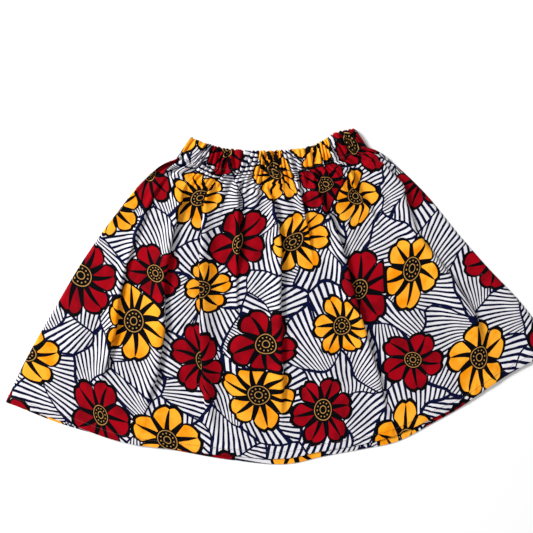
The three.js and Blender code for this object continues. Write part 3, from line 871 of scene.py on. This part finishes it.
def stitch_row_tree():
    """Geometry nodes that set one rounded stitch after another along a path."""
    tree = bpy.data.node_groups.new("stitch_row", "GeometryNodeTree")
    sockets = [("Path", "Geometry"), ("Pitch", "Float"), ("Length", "Float"), ("Thickness", "Float"),
               ("Thread", "Material")]
    for name, kind in sockets:
        tree.interface.new_socket(name, in_out="INPUT", socket_type="NodeSocket" + kind)
    tree.interface.new_socket("Stitches", in_out="OUTPUT", socket_type="NodeSocketGeometry")
    given = add(tree, "NodeGroupInput")
    path = add(tree, "GeometryNodeMeshToCurve", given["Path"])[0]
    spots = add(tree, "GeometryNodeCurveToPoints", path, inputs={"Length": given["Pitch"]}, mode="LENGTH")
    ball = add(tree, "GeometryNodeMeshUVSphere", STITCH_SIDES, STITCH_RINGS, 0.5)[0]
    size = add(tree, "ShaderNodeCombineXYZ", given["Thickness"], given["Thickness"], given["Length"])[0]
    stitch = add(tree, "GeometryNodeTransform", ball, inputs={"Scale": size})[0]
    row = add(tree, "GeometryNodeInstanceOnPoints", spots["Points"],
              inputs={"Instance": stitch, "Rotation": spots["Rotation"]})[0]
    row = add(tree, "GeometryNodeRealizeInstances", row)[0]
    row = add(tree, "GeometryNodeSetShadeSmooth", row)[0]
    row = add(tree, "GeometryNodeSetMaterial", row, inputs={"Material": given["Thread"]})[0]
    add(tree, "NodeGroupOutput", row)
    return tree


def stitch_row(name, path, tree, thread):
    """One row of stitches along a path of points in mm, as a plain mesh."""
    mesh = bpy.data.meshes.new(name + "_path")
    mesh.from_pydata((path * MM).tolist(), [(i, i + 1) for i in range(len(path) - 1)], [])
    line = bpy.data.objects.new(name + "_path", mesh)
    bpy.context.scene.collection.objects.link(line)
    modifier = line.modifiers.new("stitches", "NODES")
    modifier.node_group = tree
    values = {"Pitch": STITCH_PITCH * MM, "Length": STITCH_LENGTH * MM, "Thickness": THREAD_THICKNESS * MM,
              "Thread": thread}
    for item in tree.interface.items_tree:
        if item.in_out == "INPUT" and item.name in values:
            modifier[item.identifier] = values[item.name]
    evaluated = line.evaluated_get(bpy.context.evaluated_depsgraph_get())
    stitches = bpy.data.meshes.new_from_object(evaluated)
    stitches.name = name
    bpy.data.objects.remove(line)
    bpy.data.meshes.remove(mesh)
    piece = bpy.data.objects.new(name, stitches)
    bpy.context.scene.collection.objects.link(piece)
    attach(piece, "root")
    return piece


def printed_cotton():
    """Plain-weave cotton, wax-printed through to both faces: matt, with little gloss from its dressing."""
    material = new_material("wax_printed_cotton")
    tree = material.node_tree
    cloth = add(tree, "ShaderNodeUVMap", uv_map="cloth")[0]
    colour = blossoms(tree, cloth, shells(tree, cloth))

    weave = add(tree, "ShaderNodeTexNoise", cloth, inputs={"Scale": WEAVE_SCALE, "Detail": 1.0},
                noise_dimensions="2D")[0]
    rumple = add(tree, "ShaderNodeTexNoise", cloth, inputs={"Scale": RUMPLE_SCALE, "Detail": 3.0},
                 noise_dimensions="2D")[0]
    relief = add(tree, "ShaderNodeMath", rumple, RUMPLE_HEIGHT, operation="MULTIPLY")[0]
    relief = add(tree, "ShaderNodeMath", weave, WEAVE_HEIGHT, relief, operation="MULTIPLY_ADD")[0]
    bump = add(tree, "ShaderNodeBump",
               inputs={"Height": relief, "Strength": RELIEF_STRENGTH, "Distance": 1.0})[0]
    surface = add(tree, "ShaderNodeBsdfPrincipled", inputs={
        "Base Color": colour, "Roughness": 0.85, "IOR": 1.45, "Specular IOR Level": 0.08, "Normal": bump})[0]
    add(tree, "ShaderNodeOutputMaterial", surface)
    return material


def pale_table():
    """Matt white laminate, almost even."""
    material = new_material("pale_laminate")
    tree = material.node_tree
    grain = add(tree, "ShaderNodeTexNoise", inputs={"Scale": TABLE_GRAIN_SCALE, "Detail": 2.0})[0]
    grain = add(tree, "ShaderNodeMath", grain, TABLE_GRAIN_SHARE, operation="MULTIPLY")[0]
    colour = add(tree, "ShaderNodeMix", grain, data_type="RGBA",
                 inputs={MIX_FROM: linear(TABLE_WHITE), MIX_TO: linear(TABLE_GREY)})[MIXED]
    surface = add(tree, "ShaderNodeBsdfPrincipled", inputs={
        "Base Color": colour, "Roughness": 0.8, "Specular IOR Level": 0.2})[0]
    add(tree, "ShaderNodeOutputMaterial", surface)
    return material


def thickness_by_row(down):
    """Each row's thickness: doubled in the casing and the hem turn, and thin at the rolled edges."""
    thickness = np.where(down > HEM_LINE, HEM_TURN, np.where(down < 0, CASING_CLOTH, CLOTH))
    thickness[:len(ROLLED_EDGE)] *= ROLLED_EDGE
    thickness[-1] *= HEM_EDGE
    return thickness


def row_above(grid, thickness, number):
    """The line of points just proud of the cloth's outer face at one row."""
    return grid[number] + normals(grid)[number] * (thickness[number] / 2 + THREAD_SUNK * THREAD_THICKNESS)


def finish_piece(piece, node, material):
    """Gives a piece its material, and puts it in the place of its node."""
    piece.data.materials.append(material)
    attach(piece, "root")
    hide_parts(node)


def make_side(side, grid, down, uv, thickness, cotton, groove):
    """One side of the skirt: its casing and its panel, split at the stitched line."""
    seam = len(CASING_ROWS) - 1
    upright = UPRIGHT * (1 - smooth(down, 0, UPRIGHT_REACH))
    casing = wall_mesh(f"skirt_{side}_casing", grid[:seam + 1], uv[:seam + 1], thickness[:seam + 1],
                       upright[:seam + 1])
    panel = wall_mesh(f"skirt_{side}_panel", grid[seam:], uv[seam:], thickness[seam:], upright[seam:],
                      [g - seam for g in groove])
    finish_piece(casing, f"casing_{side}", cotton)
    finish_piece(panel, f"panel_{side}", cotton)
    return casing, panel


def make_cloth():
    """The front and the back of the skirt with their stitches."""
    cotton = printed_cotton()
    thread = sewing_thread()
    tree = stitch_row_tree()

    grid, down = front_grid()
    thickness = thickness_by_row(down)
    hem_line = int(np.searchsorted(down, HEM_STITCHES))
    front = make_side("front", grid, down, cloth_uv(grid, down), thickness, cotton, [])
    stitch_row("front_hem_stitches", row_above(grid, thickness, hem_line), tree, thread)
    stitch_row("front_casing_stitches", row_above(grid, thickness, CASING_STITCH_ROW), tree, thread)

    grid, down = back_grid()
    thickness = thickness_by_row(down)
    hem_line = int(np.searchsorted(down, HEM_STITCHES))
    uv = cloth_uv(grid, down) * [-1, 1] + BACK_PRINT_SHIFT
    back = make_side("back", grid, down, uv, thickness, cotton, [hem_line])
    under_hem = grid[hem_line, STITCHES_END_BEFORE:-STITCHES_END_BEFORE].copy()
    under_hem[:, 2] = THREAD_THICKNESS / 2
    stitch_row("back_hem_stitches", under_hem, tree, thread)
    return front + back


def make_stage():
    """The table under the skirt."""
    mesh = bpy.data.meshes.new("table_top")
    half = TABLE_HALF_SIDE
    corners = [(-half, -half, 0), (half, -half, 0), (half, half, 0), (-half, half, 0)]
    mesh.from_pydata(corners, [], [(0, 1, 2, 3)])
    table = bpy.data.objects.new("table_top", mesh)
    bpy.context.scene.collection.objects.link(table)
    table.location.z = -TABLE_BELOW
    mesh.materials.append(pale_table())


def make_lights():
    """An even white surround, and the lamps aimed at the middle of the table."""
    world = bpy.data.worlds.new("studio")
    bpy.context.scene.world = world
    world.use_nodes = True
    world.node_tree.nodes["Background"].inputs[0].default_value = (1, 1, 1, 1)
    world.node_tree.nodes["Background"].inputs[1].default_value = WORLD_STRENGTH
    for name, place, side, power in LIGHTS:
        light = bpy.data.lights.new(name, "AREA")
        light.size = side
        light.energy = power
        lamp = bpy.data.objects.new(name, light)
        lamp.location = place
        tilt = math.atan2(math.hypot(place[0], place[1]), place[2])
        lamp.rotation_euler = (tilt, 0, math.atan2(place[1], place[0]) + math.pi / 2)
        bpy.context.scene.collection.objects.link(lamp)


def make_camera():
    """Straight above the skirt, as the photograph was taken, turned by its small tilt."""
    lens = bpy.data.cameras.new("camera")
    lens.lens = LENS
    lens.sensor_width = FILM_WIDTH
    height = PHOTO_PIXELS * MM_PER_PIXEL * MM * LENS / FILM_WIDTH + CAMERA_RAISED
    camera = bpy.data.objects.new("camera", lens)
    camera.location = (*CAMERA_OVER, height)
    camera.rotation_euler = (0, 0, math.radians(CAMERA_TILT))
    bpy.context.scene.collection.objects.link(camera)
    bpy.context.scene.camera = camera


bpy.context.scene.view_settings.view_transform = "Standard"
make_camera()
make_lights()
make_stage()
front_casing, front_panel, back_casing, back_panel = make_cloth()
